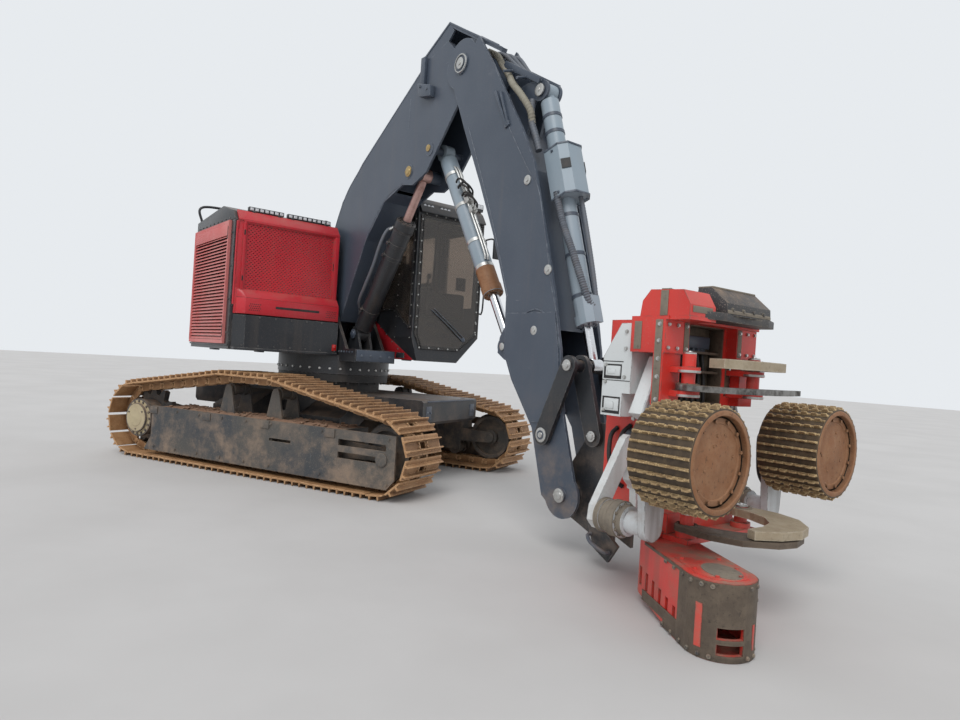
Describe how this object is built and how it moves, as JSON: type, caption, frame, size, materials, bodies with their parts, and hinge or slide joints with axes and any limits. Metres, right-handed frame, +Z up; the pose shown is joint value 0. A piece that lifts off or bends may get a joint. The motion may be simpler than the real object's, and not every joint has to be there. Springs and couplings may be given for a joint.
{
  "type": "forestry harvester",
  "caption": "Tracked forestry harvester: turned undercarriage, swing house with cab, cranked boom and long stick, and a harvesting head with feed drums, knives and a saw box.",
  "frame": {"origin": "on the ground, under the middle of the machine's length and width", "axes": "+X along the boom toward the head, +Y to the driver's left, +Z up; the swing axis stands at x = -1.9184 m, y = 0"},
  "size_m": [9.7531, 5.073, 5.1687],
  "materials": {
    "black_paint": "worn semi-gloss",
    "dark_steel": "worn semi-gloss",
    "red_paint": "scuffed gloss",
    "white_paint": "chipped",
    "track_steel": "rusty, polished on the bars",
    "knife_steel": "worn",
    "rod_chrome": "polished",
    "engine_metal": "matt",
    "seat_cloth": "woven",
    "window": "smoked"
  },
  "bodies": {
    "undercarriage": {"car_body": "black_paint", "swing_bearing": "black_paint", "track_frame_right": "dark_steel", "track_frame_left": "dark_steel", "track_right": "track_steel", "track_left": "track_steel", "final_drives": "dark_steel", "idlers": "dark_steel"},
    "house": {"swing_frame": "black_paint", "counterweight": "black_paint", "engine_hood": "black_paint", "engine_block": "engine_metal", "cooler_housing": "black_paint", "side_tank": "black_paint", "cab_riser": "red_paint", "cab_shell": "black_paint", "cab_windows": "window", "seat": "seat_cloth"},
    "louvre_door": {"louvre_door": "red_paint"},
    "grille_door": {"grille_door": "red_paint"},
    "cab_door": {"cab_door": "black_paint", "cab_door_window": "window"},
    "boom": {"boom": "dark_steel", "elbow_guard": "dark_steel"},
    "boom_barrel": {"boom_barrel": "black_paint"},
    "boom_rod": {"boom_rod": "rod_chrome"},
    "stick": {"stick": "dark_steel"},
    "stick_barrel": {"stick_barrel": "dark_steel"},
    "stick_rod": {"stick_rod": "rod_chrome"},
    "tilt_barrel": {"tilt_barrel": "dark_steel"},
    "tilt_rod": {"tilt_rod": "rod_chrome"},
    "idler_links": {"idler_links": "black_paint"},
    "tilt_links": {"tilt_links": "black_paint"},
    "head": {"head_bracket": "black_paint", "head_frame": "red_paint", "head_cover": "white_paint", "saw_box": "red_paint"},
    "roller_arm_right": {"roller_arm_right": "white_paint"},
    "roller_arm_left": {"roller_arm_left": "white_paint"},
    "feed_drum_right": {"feed_drum_right": "track_steel"},
    "feed_drum_left": {"feed_drum_left": "track_steel"},
    "upper_knife_right": {"upper_knife_right": "knife_steel"},
    "upper_knife_left": {"upper_knife_left": "track_steel"},
    "lower_knife_right": {"lower_knife_right": "track_steel"},
    "lower_knife_left": {"lower_knife_left": "track_steel"},
    "saw_bar": {"saw_bar": "knife_steel"}
  },
  "joints": [
    {"name": "swing", "type": "hinge", "parent": "undercarriage", "child": "house", "pos_m": [-1.91837, 0, 1.26], "axis": [0, 0, 1], "continuous": true},
    {"name": "louvre_door_hinge", "type": "hinge", "parent": "house", "child": "louvre_door", "pos_m": [-2.92337, -1.689, 2.3], "axis": [0, 0, -1], "range_deg": [0, 115]},
    {"name": "grille_door_hinge", "type": "hinge", "parent": "house", "child": "grille_door", "pos_m": [-1.32937, -1.65, 2.5], "axis": [0, 0, -1], "range_deg": [0, 110]},
    {"name": "cab_door_hinge", "type": "hinge", "parent": "house", "child": "cab_door", "pos_m": [-1.42837, 1.414, 2.7], "axis": [0, 0, 1], "range_deg": [0, 95]},
    {"name": "boom_lift", "type": "hinge", "parent": "house", "child": "boom", "pos_m": [-1.61837, 0, 2.08], "axis": [0, -1, 0], "range_deg": [-25, 28]},
    {"name": "boom_cylinder_swing", "type": "hinge", "parent": "house", "child": "boom_barrel", "pos_m": [-1.19837, 0, 1.8], "axis": [0, -1, 0], "range_deg": [-25.54, 28.54]},
    {"name": "boom_rod_slide", "type": "slide", "parent": "boom_barrel", "child": "boom_rod", "axis": [0.5825, 0, 0.8129], "range_m": [-0.2164, 0.2418]},
    {"name": "stick_fold", "type": "hinge", "parent": "boom", "child": "stick", "pos_m": [1.11163, 0, 4.6], "axis": [0, 1, 0], "range_deg": [-60, 16]},
    {"name": "stick_cylinder_swing", "type": "hinge", "parent": "boom", "child": "stick_barrel", "pos_m": [0.55163, 0, 3.84], "axis": [0, 1, 0], "range_deg": [-60.47, 16.49]},
    {"name": "stick_rod_slide", "type": "slide", "parent": "stick_barrel", "child": "stick_rod", "axis": [0.525, 0, -0.8511], "range_m": [-0.2471, 0.9157]},
    {"name": "head_tilt", "type": "hinge", "parent": "stick", "child": "head", "pos_m": [2.91163, 0, 0.49], "axis": [0, 1, 0], "range_deg": [-6, 60]},
    {"name": "idler_links_swing", "type": "hinge", "parent": "stick", "child": "idler_links", "pos_m": [2.69163, 0, 0.96], "axis": [0, 1, 0], "range_deg": [-5.71, 52.57]},
    {"name": "tilt_links_swing", "type": "hinge", "parent": "head", "child": "tilt_links", "pos_m": [3.13163, 0, 1], "axis": [0, 1, 0], "range_deg": [-56.95, 6.15]},
    {"name": "tilt_cylinder_swing", "type": "hinge", "parent": "stick", "child": "tilt_barrel", "pos_m": [2.17163, 0, 4.08], "axis": [0, 1, 0], "range_deg": [-5.5, 1]},
    {"name": "tilt_rod_slide", "type": "slide", "parent": "tilt_barrel", "child": "tilt_rod", "axis": [0.2957, 0, -0.9553], "range_m": [-0.0555, 0.5189]},
    {"name": "roller_arm_right_swing", "type": "hinge", "parent": "head", "child": "roller_arm_right", "pos_m": [3.83163, -0.73, 0.57], "axis": [-1, 0, 0], "range_deg": [-15, 30]},
    {"name": "feed_drum_right_spin", "type": "hinge", "parent": "roller_arm_right", "child": "feed_drum_right", "pos_m": [4.35663, -0.73, 1.05], "axis": [-1, 0, 0], "continuous": true},
    {"name": "upper_knife_right_swing", "type": "hinge", "parent": "head", "child": "upper_knife_right", "pos_m": [4.15163, -0.4, 1.46], "axis": [0, 0, -1], "range_deg": [0, 70]},
    {"name": "lower_knife_right_swing", "type": "hinge", "parent": "head", "child": "lower_knife_right", "pos_m": [4.16163, -0.33, 0.524], "axis": [0, 0, -1], "range_deg": [0, 60]},
    {"name": "roller_arm_left_swing", "type": "hinge", "parent": "head", "child": "roller_arm_left", "pos_m": [3.83163, 0.73, 0.57], "axis": [1, 0, 0], "range_deg": [-15, 30]},
    {"name": "feed_drum_left_spin", "type": "hinge", "parent": "roller_arm_left", "child": "feed_drum_left", "pos_m": [4.35663, 0.73, 1.05], "axis": [1, 0, 0], "continuous": true},
    {"name": "upper_knife_left_swing", "type": "hinge", "parent": "head", "child": "upper_knife_left", "pos_m": [4.15163, 0.4, 1.64], "axis": [0, 0, 1], "range_deg": [0, 70]},
    {"name": "lower_knife_left_swing", "type": "hinge", "parent": "head", "child": "lower_knife_left", "pos_m": [4.16163, 0.33, 0.57], "axis": [0, 0, 1], "range_deg": [0, 60]},
    {"name": "saw_bar_swing", "type": "hinge", "parent": "head", "child": "saw_bar", "pos_m": [4.08163, -0.33, 0.336], "axis": [0, 0, 1], "range_deg": [0, 95]}
  ],
  "couplings": [
    {"joint": "boom_cylinder_swing", "follows": "boom_lift", "ratio": 1.0016},
    {"joint": "boom_rod_slide", "follows": "boom_lift", "m_per_rad": 0.48669},
    {"joint": "stick_cylinder_swing", "follows": "stick_fold", "ratio": 0.99949},
    {"joint": "stick_rod_slide", "follows": "stick_fold", "m_per_rad": -0.87064},
    {"joint": "idler_links_swing", "follows": "head_tilt", "ratio": 0.86787},
    {"joint": "tilt_links_swing", "follows": "head_tilt", "ratio": -0.94088},
    {"joint": "tilt_cylinder_swing", "follows": "head_tilt", "ratio": -0.08341},
    {"joint": "tilt_rod_slide", "follows": "head_tilt", "m_per_rad": 0.49171}
  ]
}
